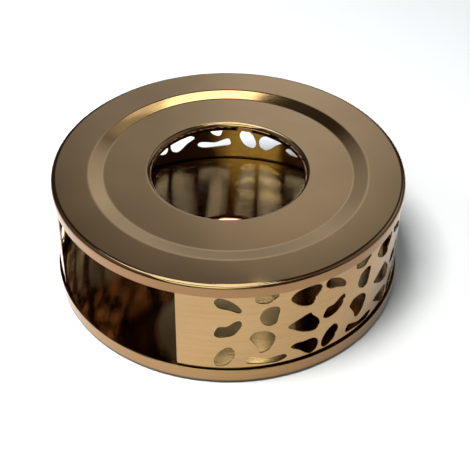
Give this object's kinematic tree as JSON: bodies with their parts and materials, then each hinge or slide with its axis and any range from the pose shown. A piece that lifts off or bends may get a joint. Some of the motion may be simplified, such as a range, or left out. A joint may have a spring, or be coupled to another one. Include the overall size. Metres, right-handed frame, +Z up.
{
  "type": "teapot warmer",
  "caption": "Round pressed-metal teapot warmer: cover with a centre hole, pebble-pierced wall with an open window, and a base pan with a tealight seat.",
  "frame": {"origin": "on the table, under the middle of the base pan", "axes": "+Z up, the window faces -Y, +X to the right seen from the window"},
  "size_m": [0.1358, 0.1358, 0.047],
  "materials": {
    "cover_sheet": "satin bronze-coloured steel",
    "wall_sheet": "bronze-coloured steel brushed along the strip",
    "base_sheet": "bronze-coloured steel, brushed, with a bright floor"
  },
  "bodies": {
    "base": {"base_pan": "base_sheet"},
    "housing": {"cover_plate": "cover_sheet", "wall_band": "wall_sheet"}
  },
  "joints": [
    {"name": "housing_lift", "type": "slide", "parent": "base", "child": "housing", "axis": [0, 0, 1], "range_m": [0, 0.06]}
  ]
}
